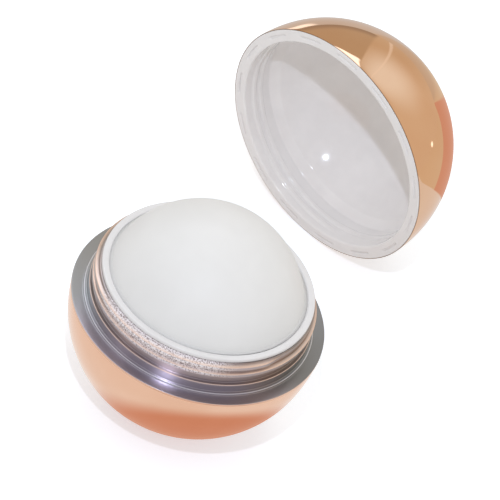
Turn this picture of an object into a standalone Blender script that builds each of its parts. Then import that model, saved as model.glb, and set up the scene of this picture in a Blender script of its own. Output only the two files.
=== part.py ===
"""A ball-shaped lip balm with its screw cap taken off and stood beside it.

The ball is two plated half shells. The lower one stands on a small flat foot and holds a
threaded collar, and the collar carries the white cup that the domed balm is poured into.
The upper one holds a white liner with the matching inner thread.

The frame is the base's own: the origin is the centre of the foot, on the surface that the
ball stands on, and +Z is the axis of the base. All lengths are in metres.
"""
import math

import bmesh
import bpy
from mathutils import Matrix, Vector

# The ball as a whole
BALL_RADIUS = 0.0200
FOOT_CUT = 0.0015
PARTING_GAP = 0.0003
FIT_GAP = 0.0002

# The two plated half shells
SHELL_WALL = 0.0007
FOOT_WALL = 0.0012

# The rims of the collar and the liner, which cover the edges of the shells
RIM_INSET = 0.00005
RIM_THICKNESS = 0.0003

# The collar that closes the lower shell and carries the outer thread
FLANGE_THICKNESS = 0.0008
FLANGE_WIDTH = 0.00235
SPIGOT_DEPTH = 0.0015
SPIGOT_WALL = 0.0010
SEAT_STEP_WIDTH = 0.00035
SEAT_STEP_HEIGHT = 0.00015
NECK_BAND_HEIGHT = 0.0017
NECK_ROOT_DEPTH = 0.0005
NECK_HEIGHT = 0.0058
NECK_WALL = 0.0009
NECK_EDGE = 0.0002
SKIRT_WALL = 0.0010
SKIRT_DEPTH = 0.0025

# The screw thread, right-handed, shared by the collar and the liner
THREAD_STARTS = 1
THREAD_LEAD = 0.0015
THREAD_CREST_GAP = 0.00015
THREAD_RIDGE_RADIUS = 0.00036
THREAD_SWEEP = math.radians(630)
THREAD_TAPER = math.radians(18)
THREAD_TIP_SHARE = 0.35
NECK_THREAD_HEIGHT = 0.00275
NECK_THREAD_ANGLE = math.radians(60)
LINER_THREAD_ANGLE = math.radians(-20)

# The white cup that the balm is poured into
CUP_LIP_WIDTH = 0.00085
CUP_LIP_THICKNESS = 0.0005
CUP_LIP_EDGE = 0.00015
CUP_WALL = 0.0006
CUP_MOUTH_BEVEL = 0.0005
CUP_HEIGHT = 0.0052
ANCHOR_BAR_COUNT = 3
ANCHOR_BAR_WIDTH = 0.0008
ANCHOR_BAR_HEIGHT = 0.0018

# The disc that closes the cup from below after the balm is poured
DISC_THICKNESS = 0.0010
DISC_INSET = 0.0004

# The balm: how far its dome stands above the lip of the cup
BALM_DOME_HEIGHT = 0.01097

# The liner of the cap
LINER_WALL = 0.0011
LINER_RIM_EDGE = 0.00012
LINER_MOUTH_BEVEL = 0.0002
LINER_SHOULDER_HEIGHT = 0.0014
SLOT_COUNT = 15
SLOT_LENGTH = 0.0040
SLOT_WIDTH = 0.00035
SLOT_DEPTH = 0.00025
SLOT_RING_INSET = 0.00102
SLOT_FIRST_ANGLE = math.radians(9.9)

# Where the cap stands: the way its dome points, and its centre on the surface
CAP_TILT = math.radians(83.8)
CAP_HEADING = math.radians(60.3)
CAP_SPIN = math.radians(0)
CAP_PLACE_X = 0.00948
CAP_PLACE_Y = 0.04465

# How far above its closed place the cap is held when it swings over the base
CAP_CLEAR_LIFT = 0.0015

# Counts that set how fine the faceted solids are
ROUND_STEPS = 60
OUTER_ARC_STEPS = 10
HIDDEN_ARC_STEPS = 7
DOME_ARC_STEPS = 10
RIDGE_STEPS_A_TURN = 32
RIDGE_BEVEL_STEPS = 2

# One overrun serves every cut, and one merge distance every seam
CUT_OVERRUN = 0.0005
MERGE_DISTANCE = 0.000001

# Heights and radii that follow from the sizes above
BALL_CENTRE_HEIGHT = BALL_RADIUS - FOOT_CUT
FOOT_RADIUS = math.sqrt(BALL_RADIUS ** 2 - BALL_CENTRE_HEIGHT ** 2)
SHELL_INNER_RADIUS = BALL_RADIUS - SHELL_WALL
RIM_RADIUS = BALL_RADIUS - RIM_INSET
SHELL_EDGE_DEPTH = RIM_THICKNESS + FIT_GAP
SHELL_EDGE_RADIUS = math.sqrt(BALL_RADIUS ** 2 - SHELL_EDGE_DEPTH ** 2)
SPIGOT_END_DEPTH = RIM_THICKNESS + SPIGOT_DEPTH
SPIGOT_RADIUS = math.sqrt(SHELL_INNER_RADIUS ** 2 - SPIGOT_END_DEPTH ** 2) - FIT_GAP
PARTING_HEIGHT = BALL_CENTRE_HEIGHT
NECK_BAND_RADIUS = RIM_RADIUS - FLANGE_WIDTH
NECK_ROOT_RADIUS = NECK_BAND_RADIUS - NECK_ROOT_DEPTH
NECK_CREST_RADIUS = NECK_BAND_RADIUS + FIT_GAP - THREAD_CREST_GAP
NECK_BORE_RADIUS = NECK_ROOT_RADIUS - NECK_WALL
NECK_TOP_HEIGHT = PARTING_HEIGHT + NECK_HEIGHT
CUP_LIP_HEIGHT = NECK_TOP_HEIGHT + FIT_GAP
CUP_TOP_HEIGHT = CUP_LIP_HEIGHT + CUP_LIP_THICKNESS
CUP_OUTER_RADIUS = NECK_BORE_RADIUS - FIT_GAP
CUP_INNER_RADIUS = CUP_OUTER_RADIUS - CUP_WALL
CUP_BOTTOM_HEIGHT = CUP_TOP_HEIGHT - CUP_HEIGHT
DISC_BOTTOM_HEIGHT = CUP_BOTTOM_HEIGHT + DISC_INSET
DISC_TOP_HEIGHT = DISC_BOTTOM_HEIGHT + DISC_THICKNESS
BALM_BOTTOM_HEIGHT = DISC_TOP_HEIGHT + FIT_GAP
BALM_RADIUS = CUP_INNER_RADIUS - FIT_GAP
BALM_TOP_HEIGHT = CUP_TOP_HEIGHT + BALM_DOME_HEIGHT
BALM_DOME_RADIUS = (BALM_RADIUS ** 2 + BALM_DOME_HEIGHT ** 2) / (2 * BALM_DOME_HEIGHT)
BALM_DOME_CENTRE_HEIGHT = BALM_TOP_HEIGHT - BALM_DOME_RADIUS
LINER_OUTER_RADIUS = SHELL_INNER_RADIUS - FIT_GAP
LINER_DOME_RADIUS = LINER_OUTER_RADIUS - LINER_WALL
LINER_MOUTH_RADIUS = NECK_BAND_RADIUS + FIT_GAP
LINER_BORE_DEPTH = NECK_HEIGHT - PARTING_GAP
LINER_CREST_RADIUS = NECK_ROOT_RADIUS + THREAD_CREST_GAP
SLOT_RING_RADIUS = RIM_RADIUS - SLOT_RING_INSET
CAP_OVER_BASE_HEIGHT = CUP_TOP_HEIGHT + PARTING_GAP + CAP_CLEAR_LIFT

SMOOTH_ANGLE = math.radians(35)


def linear(red, green, blue):
    """Turns a colour read off the photograph, 0 to 255, into the linear values of a material."""
    values = []
    for channel in (red, green, blue):
        share = channel / 255
        values.append(share / 12.92 if share <= 0.04045 else ((share + 0.055) / 1.055) ** 2.4)
    return (*values, 1.0)


def make_material(name, colour, roughness, metallic):
    material = bpy.data.materials.new(name)
    material.use_nodes = True
    shader = material.node_tree.nodes["Principled BSDF"]
    shader.inputs["Base Color"].default_value = colour
    shader.inputs["Roughness"].default_value = roughness
    shader.inputs["Metallic"].default_value = metallic
    material.diffuse_color = colour
    return material


def clear_scene():
    for item in list(bpy.data.objects):
        bpy.data.objects.remove(item, do_unlink=True)


def new_collection(name):
    collection = bpy.data.collections.new(name)
    bpy.context.scene.collection.children.link(collection)
    return collection


def arc(radius, centre_height, first_height, last_height, steps):
    """Points of a sphere's outline between two heights, both ends included."""
    first = math.asin(max(-1, min(1, (first_height - centre_height) / radius)))
    last = math.asin(max(-1, min(1, (last_height - centre_height) / radius)))
    points = []
    for index in range(steps + 1):
        angle = first + (last - first) * index / steps
        points.append((radius * math.cos(angle), centre_height + radius * math.sin(angle)))
    return points


def turned(name, outline, closed_loop=False):
    """A piece turned about Z from an outline of (radius, height) points.

    The outline runs down the outer side. It starts and ends on the axis, or it is a loop.
    """
    mesh = bpy.data.meshes.new(name)
    points = [(radius, 0, height) for radius, height in outline]
    edges = [(index, index + 1) for index in range(len(points) - 1)]
    if closed_loop:
        edges.append((len(points) - 1, 0))
    mesh.from_pydata(points, edges, [])
    piece = bpy.data.objects.new(name, mesh)
    screw = piece.modifiers.new("Turn", "SCREW")
    screw.axis = "Z"
    screw.angle = math.tau
    screw.steps = ROUND_STEPS
    screw.render_steps = ROUND_STEPS
    screw.use_merge_vertices = True
    screw.merge_threshold = MERGE_DISTANCE
    return piece


def tube_mesh(name, points, shares, tube_radius, collection):
    """A closed tube along points, as a mesh, with its radius scaled by a share at each point."""
    curve = bpy.data.curves.new(name, "CURVE")
    curve.dimensions = "3D"
    curve.twist_mode = "Z_UP"
    curve.bevel_depth = tube_radius
    curve.bevel_resolution = RIDGE_BEVEL_STEPS
    curve.use_fill_caps = True
    spline = curve.splines.new("POLY")
    spline.points.add(len(points) - 1)
    for target, point, share in zip(spline.points, points, shares):
        target.co = (*point, 1)
        target.radius = share
    source = bpy.data.objects.new(name, curve)
    collection.objects.link(source)
    graph = bpy.context.evaluated_depsgraph_get()
    mesh = bpy.data.meshes.new_from_object(source.evaluated_get(graph))
    welded = bmesh.new()
    welded.from_mesh(mesh)
    bmesh.ops.remove_doubles(welded, verts=welded.verts, dist=MERGE_DISTANCE)
    bmesh.ops.recalc_face_normals(welded, faces=welded.faces)
    welded.to_mesh(mesh)
    welded.free()
    tube = bpy.data.objects.new(name, mesh)
    tube.matrix_world = source.matrix_world
    bpy.data.objects.remove(source, do_unlink=True)
    collection.objects.link(tube)
    return tube


def thread_ridge(name, wall_radius, crest_radius, first_height, first_angle, collection):
    """One start of the thread: a round ridge, part sunk in its wall, that climbs along a helix.

    A point at turn angle t from the start lies at height first + lead * t / tau. The ridge
    thins and sinks into the wall towards both ends.
    """
    outward = 1 if crest_radius > wall_radius else -1
    stand_off = abs(crest_radius - wall_radius) - THREAD_RIDGE_RADIUS
    steps = round(RIDGE_STEPS_A_TURN * THREAD_SWEEP / math.tau)
    points = []
    shares = []
    for index in range(steps + 1):
        turn = THREAD_SWEEP * index / steps
        from_end = min(turn, THREAD_SWEEP - turn) / THREAD_TAPER
        share = THREAD_TIP_SHARE + (1 - THREAD_TIP_SHARE) * min(from_end, 1)
        radius = wall_radius + outward * stand_off * share
        angle = first_angle + turn
        height = first_height + THREAD_LEAD * turn / math.tau
        points.append((radius * math.cos(angle), radius * math.sin(angle), height))
        shares.append(share)
    return tube_mesh(name, points, shares, THREAD_RIDGE_RADIUS, collection)


def thread(name, wall_radius, crest_radius, first_height, first_angle, collection):
    """All the starts of a thread, spread evenly round the axis."""
    ridges = []
    for start in range(THREAD_STARTS):
        angle = first_angle + math.tau * start / THREAD_STARTS
        ridge_name = f"{name}_{start + 1}"
        ridges.append(thread_ridge(ridge_name, wall_radius, crest_radius, first_height, angle, collection))
    return ridges


def block(name, size, place, turn, collection):
    """A box with its centre at place, turned about Z."""
    mesh = bpy.data.meshes.new(name)
    shape = bmesh.new()
    bmesh.ops.create_cube(shape, size=1)
    bmesh.ops.scale(shape, vec=size, verts=shape.verts)
    bmesh.ops.translate(shape, vec=place, verts=shape.verts)
    bmesh.ops.rotate(shape, cent=(0, 0, 0), matrix=Matrix.Rotation(turn, 3, "Z"), verts=shape.verts)
    shape.to_mesh(mesh)
    shape.free()
    item = bpy.data.objects.new(name, mesh)
    collection.objects.link(item)
    return item


def combine(piece, other, operation):
    """Joins another shape to a piece, or cuts it away, with a Boolean modifier."""
    boolean = piece.modifiers.new(other.name, "BOOLEAN")
    boolean.operation = operation
    boolean.solver = "EXACT"
    boolean.object = other
    other.hide_render = True
    other.display_type = "WIRE"


def settle(piece, collection, material):
    """Makes the modifiers' result the piece's own mesh, shaded smooth between its real edges."""
    collection.objects.link(piece)
    graph = bpy.context.evaluated_depsgraph_get()
    mesh = bpy.data.meshes.new_from_object(piece.evaluated_get(graph))
    piece.modifiers.clear()
    mesh.name = piece.name
    piece.data = mesh
    mesh.materials.clear()
    mesh.materials.append(material)
    mesh.shade_smooth()
    mesh.set_sharp_from_angle(angle=SMOOTH_ANGLE)
    return piece


def make_base_shell(parts):
    """The plated lower half of the ball, with its flat foot. The collar's rim covers its edge."""
    edge_height = PARTING_HEIGHT - SHELL_EDGE_DEPTH
    outline = [(0, FOOT_WALL)]
    outline += arc(SHELL_INNER_RADIUS, BALL_CENTRE_HEIGHT, FOOT_WALL, edge_height, HIDDEN_ARC_STEPS)
    outline += arc(BALL_RADIUS, BALL_CENTRE_HEIGHT, edge_height, 0, OUTER_ARC_STEPS)
    outline.append((0, 0))
    material = make_material("rose gold plating", linear(222, 170, 138), 0.22, 1.0)
    return settle(turned("base_shell", outline), parts, material)


def make_collar(parts, cutters):
    """The grey metallised collar: flange, low step, plain band, threaded neck, and a spigot in the shell."""
    band_top = PARTING_HEIGHT + NECK_BAND_HEIGHT
    flange_bottom = PARTING_HEIGHT - FLANGE_THICKNESS
    rim_bottom = PARTING_HEIGHT - RIM_THICKNESS
    spigot_bottom = PARTING_HEIGHT - SPIGOT_END_DEPTH
    spigot_inner_radius = SPIGOT_RADIUS - SPIGOT_WALL
    skirt_radius = NECK_BORE_RADIUS + SKIRT_WALL
    skirt_bottom = flange_bottom - SKIRT_DEPTH
    outline = [
        (NECK_BORE_RADIUS, NECK_TOP_HEIGHT),
        (NECK_ROOT_RADIUS - NECK_EDGE, NECK_TOP_HEIGHT),
        (NECK_ROOT_RADIUS, NECK_TOP_HEIGHT - NECK_EDGE),
        (NECK_ROOT_RADIUS, band_top),
        (NECK_BAND_RADIUS - NECK_EDGE, band_top),
        (NECK_BAND_RADIUS, band_top - NECK_EDGE),
        (NECK_BAND_RADIUS, PARTING_HEIGHT + SEAT_STEP_HEIGHT),
        (NECK_BAND_RADIUS + SEAT_STEP_WIDTH, PARTING_HEIGHT + SEAT_STEP_HEIGHT),
        (NECK_BAND_RADIUS + SEAT_STEP_WIDTH, PARTING_HEIGHT),
        (RIM_RADIUS, PARTING_HEIGHT),
        (RIM_RADIUS, rim_bottom),
        (SPIGOT_RADIUS, rim_bottom),
        (SPIGOT_RADIUS, spigot_bottom),
        (spigot_inner_radius, spigot_bottom),
        (spigot_inner_radius, flange_bottom),
        (skirt_radius, flange_bottom),
        (skirt_radius, skirt_bottom),
        (NECK_BORE_RADIUS, skirt_bottom),
    ]
    collar = turned("threaded_collar", outline, closed_loop=True)
    thread_height = PARTING_HEIGHT + NECK_THREAD_HEIGHT
    ridges = thread(
        "neck_thread", NECK_ROOT_RADIUS, NECK_CREST_RADIUS, thread_height, NECK_THREAD_ANGLE, cutters
    )
    for ridge in ridges:
        combine(collar, ridge, "UNION")
    material = make_material("dark metallised plastic", linear(150, 140, 136), 0.18, 1.0)
    return settle(collar, parts, material)


def anchor_bars(name, clearance, overrun, collection):
    """The bars that cross the cup and key the balm in place, grown by a clearance all round."""
    bottom = BALM_BOTTOM_HEIGHT - overrun
    top = BALM_BOTTOM_HEIGHT + ANCHOR_BAR_HEIGHT + clearance
    reach = (CUP_INNER_RADIUS + CUP_OUTER_RADIUS) / 2
    size = (2 * reach, ANCHOR_BAR_WIDTH + 2 * clearance, top - bottom)
    place = (0, 0, (top + bottom) / 2)
    bars = []
    for index in range(ANCHOR_BAR_COUNT):
        turn = math.pi * index / ANCHOR_BAR_COUNT
        bars.append(block(f"{name}_{index + 1}", size, place, turn, collection))
    return bars


def make_cup(parts, cutters):
    """The white cup: a lip that lies on the neck, a short wall, and bars that key the balm."""
    lip_radius = CUP_OUTER_RADIUS + CUP_LIP_WIDTH
    outline = [
        (CUP_INNER_RADIUS + CUP_MOUTH_BEVEL, CUP_TOP_HEIGHT),
        (lip_radius - CUP_LIP_EDGE, CUP_TOP_HEIGHT),
        (lip_radius, CUP_TOP_HEIGHT - CUP_LIP_EDGE),
        (lip_radius, CUP_LIP_HEIGHT),
        (CUP_OUTER_RADIUS, CUP_LIP_HEIGHT),
        (CUP_OUTER_RADIUS, CUP_BOTTOM_HEIGHT),
        (CUP_INNER_RADIUS, CUP_BOTTOM_HEIGHT),
        (CUP_INNER_RADIUS, CUP_TOP_HEIGHT - CUP_MOUTH_BEVEL),
    ]
    cup = turned("balm_cup", outline, closed_loop=True)
    for bar in anchor_bars("cup_bar", 0, 0, cutters):
        combine(cup, bar, "UNION")
    material = make_material("white gloss plastic", linear(228, 229, 231), 0.25, 0.0)
    return settle(cup, parts, material)


def make_disc(parts):
    """The disc pressed into the cup from below once the balm has set."""
    radius = CUP_INNER_RADIUS - FIT_GAP
    outline = [(0, DISC_TOP_HEIGHT), (radius, DISC_TOP_HEIGHT), (radius, DISC_BOTTOM_HEIGHT)]
    outline.append((0, DISC_BOTTOM_HEIGHT))
    material = make_material("white disc plastic", linear(226, 227, 228), 0.35, 0.0)
    return settle(turned("closing_disc", outline), parts, material)


def make_balm(parts, cutters):
    """The balm: a dome that fills the cup round its bars."""
    outline = arc(
        BALM_DOME_RADIUS, BALM_DOME_CENTRE_HEIGHT, BALM_TOP_HEIGHT, CUP_TOP_HEIGHT, DOME_ARC_STEPS
    )
    outline[0] = (0, BALM_TOP_HEIGHT)
    outline.append((BALM_RADIUS, BALM_BOTTOM_HEIGHT))
    outline.append((0, BALM_BOTTOM_HEIGHT))
    balm = turned("balm", outline)
    for bar in anchor_bars("balm_bar_cut", FIT_GAP, CUT_OVERRUN, cutters):
        combine(balm, bar, "DIFFERENCE")
    material = make_material("wax balm", linear(232, 232, 230), 0.55, 0.0)
    return settle(balm, parts, material)


def make_cap_shell(parts):
    """The plated upper half of the ball, in the cap's own frame: rim at zero, dome along +Z."""
    outline = arc(BALL_RADIUS, 0, BALL_RADIUS, SHELL_EDGE_DEPTH, OUTER_ARC_STEPS)
    outline[0] = (0, BALL_RADIUS)
    outline += arc(SHELL_INNER_RADIUS, 0, SHELL_EDGE_DEPTH, SHELL_INNER_RADIUS, HIDDEN_ARC_STEPS)
    outline[-1] = (0, SHELL_INNER_RADIUS)
    material = make_material("rose gold cap plating", linear(214, 168, 130), 0.1, 1.0)
    return settle(turned("cap_shell", outline), parts, material)


def rim_slots(collection):
    """Shallow straight slots in a ring on the rim of the liner, as one cutter."""
    name = "rim_slots"
    shape = bmesh.new()
    for index in range(SLOT_COUNT):
        angle = SLOT_FIRST_ANGLE + math.tau * index / SLOT_COUNT
        made = bmesh.ops.create_cube(shape, size=1)["verts"]
        bmesh.ops.scale(shape, vec=(SLOT_WIDTH, SLOT_LENGTH, 2 * SLOT_DEPTH), verts=made)
        bmesh.ops.translate(shape, vec=(SLOT_RING_RADIUS, 0, 0), verts=made)
        bmesh.ops.rotate(shape, cent=(0, 0, 0), matrix=Matrix.Rotation(angle, 3, "Z"), verts=made)
    mesh = bpy.data.meshes.new(name)
    shape.to_mesh(mesh)
    shape.free()
    slots = bpy.data.objects.new(name, mesh)
    collection.objects.link(slots)
    return slots


def make_cap_liner(parts, cutters):
    """The white liner: a flat rim with slots, a threaded bore, a shoulder and an inner dome."""
    shoulder_top = LINER_BORE_DEPTH + LINER_SHOULDER_HEIGHT
    outline = arc(LINER_OUTER_RADIUS, 0, LINER_OUTER_RADIUS, RIM_THICKNESS, HIDDEN_ARC_STEPS)
    outline[0] = (0, LINER_OUTER_RADIUS)
    outline.append((RIM_RADIUS, RIM_THICKNESS))
    outline.append((RIM_RADIUS, LINER_RIM_EDGE))
    outline.append((RIM_RADIUS - LINER_RIM_EDGE, 0))
    outline.append((LINER_MOUTH_RADIUS + LINER_MOUTH_BEVEL, 0))
    outline.append((LINER_MOUTH_RADIUS, LINER_MOUTH_BEVEL))
    outline.append((LINER_MOUTH_RADIUS, LINER_BORE_DEPTH))
    outline += arc(LINER_DOME_RADIUS, 0, shoulder_top, LINER_DOME_RADIUS, DOME_ARC_STEPS)
    outline[-1] = (0, LINER_DOME_RADIUS)
    liner = turned("cap_liner", outline)
    thread_pitch = THREAD_LEAD / THREAD_STARTS
    thread_height = NECK_THREAD_HEIGHT - PARTING_GAP - thread_pitch / 2
    ridges = thread(
        "liner_thread", LINER_MOUTH_RADIUS, LINER_CREST_RADIUS, thread_height, LINER_THREAD_ANGLE, cutters
    )
    for ridge in ridges:
        combine(liner, ridge, "UNION")
    combine(liner, rim_slots(cutters), "DIFFERENCE")
    material = make_material("white liner plastic", linear(222, 222, 224), 0.22, 0.0)
    return settle(liner, parts, material)


def cap_dome_direction():
    """The way the dome of the cap points as it stands on its rim."""
    across = math.sin(CAP_TILT)
    return Vector((across * math.cos(CAP_HEADING), across * math.sin(CAP_HEADING), math.cos(CAP_TILT)))


def cap_placement():
    """The cap's own frame in the world, with the lowest point of its edges on the surface."""
    edges = [
        (RIM_RADIUS - LINER_RIM_EDGE, 0),
        (RIM_RADIUS, LINER_RIM_EDGE),
        (SHELL_EDGE_RADIUS, SHELL_EDGE_DEPTH),
    ]
    lift = max(radius * math.sin(CAP_TILT) - height * math.cos(CAP_TILT) for radius, height in edges)
    centre = Vector((CAP_PLACE_X, CAP_PLACE_Y, lift))
    turn = Matrix.Rotation(CAP_HEADING, 4, "Z") @ Matrix.Rotation(CAP_TILT, 4, "Y")
    spin = Matrix.Rotation(CAP_SPIN, 4, "Z")
    return Matrix.Translation(centre) @ turn @ spin


def swing_axis(placement):
    """The one axis that carries the cap from where it stands to over the base.

    The cap may turn freely about its own axis, so the turn may use any axis between the
    level one and the bisector of the two dome directions. The one that is square to the
    straight line between the two places needs no slide. Returns the axis, a point on it
    and the angle of the turn.
    """
    up = Vector((0, 0, 1))
    dome = cap_dome_direction()
    level = up.cross(dome).normalized()
    bisector = (up + dome).normalized()
    start = placement.to_translation()
    end = Vector((0, 0, CAP_OVER_BASE_HEIGHT))
    line = end - start
    axis = (level * bisector.dot(line) - bisector * level.dot(line)).normalized()
    flat_dome = dome - axis * dome.dot(axis)
    flat_up = up - axis * up.dot(axis)
    angle = math.atan2(axis.dot(flat_dome.cross(flat_up)), flat_dome.dot(flat_up))
    if angle < 0:
        axis = -axis
        angle = -angle
    middle = (start + end) / 2
    pivot = middle + axis.cross(line) / (2 * math.tan(angle / 2))
    pivot -= axis * axis.dot(pivot - start)
    return axis, pivot, angle


def place_cap(pieces, parts):
    """Stands the cap's pieces beside the base, under an empty on the axis that they swing about."""
    placement = cap_placement()
    axis, point, angle = swing_axis(placement)
    pivot = bpy.data.objects.new("cap_pivot", None)
    pivot.empty_display_size = BALL_RADIUS
    parts.objects.link(pivot)
    turn = Vector((0, 0, 1)).rotation_difference(axis).to_matrix().to_4x4()
    pivot_place = Matrix.Translation(point) @ turn
    pivot.matrix_world = pivot_place
    for piece in pieces:
        piece.parent = pivot
        piece.matrix_local = pivot_place.inverted() @ placement
    bpy.context.view_layer.update()
    print("cap swing axis", [round(value, 6) for value in axis])
    print("cap swing point", [round(value, 7) for value in point])
    print("cap swing range in degrees", round(math.degrees(angle), 3))


def main():
    clear_scene()
    parts = new_collection("lip_balm_ball")
    cutters = new_collection("cutters")
    make_base_shell(parts)
    make_collar(parts, cutters)
    make_cup(parts, cutters)
    make_disc(parts)
    make_balm(parts, cutters)
    cap_pieces = [make_cap_shell(parts), make_cap_liner(parts, cutters)]
    place_cap(cap_pieces, parts)


if __name__ == "__main__":
    main()
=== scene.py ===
"""The look of a ball-shaped lip balm: rose gold plating, a dark threaded neck, a white cup
with a wax dome, and the screw cap standing behind it with its white liner towards the viewer.

All lengths are in metres. The base stands on the origin with its axis along +Z.
"""
import math

import bpy
import numpy as np
from mathutils import Matrix, Vector


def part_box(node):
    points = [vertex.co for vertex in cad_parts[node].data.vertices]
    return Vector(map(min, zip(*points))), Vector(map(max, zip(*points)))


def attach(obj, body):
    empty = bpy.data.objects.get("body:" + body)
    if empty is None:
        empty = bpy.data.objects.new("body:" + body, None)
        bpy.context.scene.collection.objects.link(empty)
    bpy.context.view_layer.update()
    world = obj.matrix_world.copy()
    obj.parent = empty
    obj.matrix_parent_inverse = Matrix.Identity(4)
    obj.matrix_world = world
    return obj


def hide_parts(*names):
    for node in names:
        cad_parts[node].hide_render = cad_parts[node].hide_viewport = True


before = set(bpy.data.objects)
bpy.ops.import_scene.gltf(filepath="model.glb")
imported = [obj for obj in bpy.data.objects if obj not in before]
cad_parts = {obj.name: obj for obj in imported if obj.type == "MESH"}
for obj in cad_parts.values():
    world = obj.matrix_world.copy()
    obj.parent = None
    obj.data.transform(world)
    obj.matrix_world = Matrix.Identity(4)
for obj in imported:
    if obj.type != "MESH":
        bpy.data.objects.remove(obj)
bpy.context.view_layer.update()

bl_info = {
    "name": "Lip Balm Ball",
    "version": (1, 0, 0),
    "blender": (4, 5, 0),
    "location": "3D View > Sidebar > Lip Balm",
    "description": "Builds the finished surfaces of a lip balm ball and its studio",
    "category": "Add Mesh",
}

TAU = math.tau

BALM_LOW, BALM_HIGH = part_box("balm")


def length(name, description, default):
    """A size in metres that a user can change."""
    return bpy.props.FloatProperty(
        name=name,
        description=description,
        default=default,
        min=0,
        precision=5,
        unit="LENGTH",
        subtype="DISTANCE",
    )


def angle(name, description, degrees):
    """An angle that a user can change."""
    turn = math.radians(degrees)
    return bpy.props.FloatProperty(
        name=name, description=description, default=turn, unit="ROTATION", subtype="ANGLE"
    )


def colour(name, description, red, green, blue):
    """A colour that a user can change, given as it is read off a screen, 0 to 255."""
    values = [linear_value(channel / 255) for channel in (red, green, blue)]
    return bpy.props.FloatVectorProperty(
        name=name, description=description, default=values, size=3, min=0, max=1, subtype="COLOR"
    )


def linear_value(share):
    """The linear value of a screen value between 0 and 1."""
    return share / 12.92 if share <= 0.04045 else ((share + 0.055) / 1.055) ** 2.4


class BallSizes(bpy.types.PropertyGroup):
    """Sizes that both halves share."""

    radius: length("Ball radius", "Outer radius of both half shells", 0.0200)
    wall: length("Shell wall", "Wall of the half shells", 0.0007)
    edge_depth: length("Edge depth", "How far the shells stop short of the parting plane", 0.00034)
    edge_round: length("Edge rounding", "Rounding of the shells' edges", 0.00008)
    foot_wall: length("Foot wall", "Thickness of the flat foot", 0.0012)
    foot_edge: length("Foot rounding", "Rounding where the foot meets the ball", 0.0006)
    rim_thickness: length("Rim thickness", "Thickness of the collar's and the liner's rims", 0.0003)
    centre_height: length("Centre height", "Height of the parting plane of the base", 0.0185)


class CollarSizes(bpy.types.PropertyGroup):
    """Sizes of the threaded collar."""

    rim_radius: length("Rim radius", "Outer radius of the flange", 0.0201)
    flange_thickness: length("Flange thickness", "Thickness of the flange", 0.0008)
    step_radius: length("Step radius", "Radius of the low step at the foot of the band", 0.0182)
    step_height: length("Step height", "Height of the low step", 0.00035)
    band_radius: length("Band radius", "Radius of the plain band", 0.0177)
    band_height: length("Band height", "Height of the plain band above the flange", 0.0018)
    root_radius: length("Root radius", "Radius of the neck between the ridges", 0.0171)
    bore_radius: length("Bore radius", "Inner radius of the neck", 0.0162)
    neck_height: length("Neck height", "Height of the neck above the flange", 0.0058)
    spigot_radius: length("Spigot radius", "Outer radius of the spigot in the shell", 0.01901)
    spigot_wall: length("Spigot wall", "Wall of the spigot", 0.0010)
    spigot_depth: length("Spigot depth", "Depth of the spigot below the rim", 0.0015)
    skirt_radius: length("Skirt radius", "Outer radius of the skirt inside the shell", 0.0172)
    skirt_depth: length("Skirt depth", "Depth of the skirt below the flange", 0.0025)
    edge_round: length("Edge rounding", "Rounding of the collar's edges", 0.0001)


class ThreadSizes(bpy.types.PropertyGroup):
    """Sizes of the screw thread on the collar and in the liner."""

    lead: length("Lead", "Climb of the ridge in one turn", 0.0015)
    rise: length("Ridge rise", "Height of the ridge above its wall", 0.00055)
    width: length("Ridge width", "Width of the ridge at its foot", 0.00092)
    flank: length("Flank width", "Width of the ridge's sloping side", 0.00014)
    sweep: angle("Sweep", "Angle that the ridge covers", 630)
    taper: angle("Taper", "Angle over which the ridge runs out", 16)
    neck_start: length("Neck start height", "Height at which the neck's ridge begins", 0.00272)
    neck_angle: angle("Neck start angle", "Angle at which the neck's ridge begins", 60)
    liner_start: length("Liner start height", "Depth at which the liner's ridge begins", 0.0017)
    liner_angle: angle("Liner start angle", "Angle at which the liner's ridge begins", -20)
    # The edge lines are worn plating and painted highlight in one; this is their width.
    wear_sheen_width: length("Worn width", "Width of the worn line along an edge", 0.00008)
    liner_share: bpy.props.FloatProperty(
        name="Liner share",
        description="Height of the liner's ridge as a share of the neck's",
        default=0.55,
        min=0,
        subtype="FACTOR",
    )


class CupSizes(bpy.types.PropertyGroup):
    """Sizes of the white cup and the dome of balm in it."""

    lip_radius: length("Lip radius", "Outer radius of the lip", 0.01685)
    lip_thickness: length("Lip thickness", "Thickness of the lip", 0.00067)
    lip_edge: length("Lip rounding", "Rounding of the lip", 0.00018)
    outer_radius: length("Cup radius", "Outer radius of the cup's wall", 0.0160)
    inner_radius: length("Cup inner radius", "Inner radius of the cup's wall", 0.0154)
    mouth_bevel: length("Mouth bevel", "Slope inside the lip", 0.0005)
    height: length("Cup height", "Height of the cup", 0.0052)
    seat_gap: length("Seat gap", "Gap between the lip and the neck", 0.00003)
    groove_depth: length("Groove depth", "Depth of the wax in the groove inside the lip", 0.00014)
    balm_radius: length("Balm radius", "Radius of the balm in the cup", 0.0152)
    balm_top: length("Balm top", "Height of the top of the dome", BALM_HIGH.z)
    balm_bottom: length("Balm bottom", "Height of the underside of the balm", BALM_LOW.z)
    balm_shift: length("Balm shift", "How far the dome leans away from the cup on one side", 0.0001)


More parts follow.
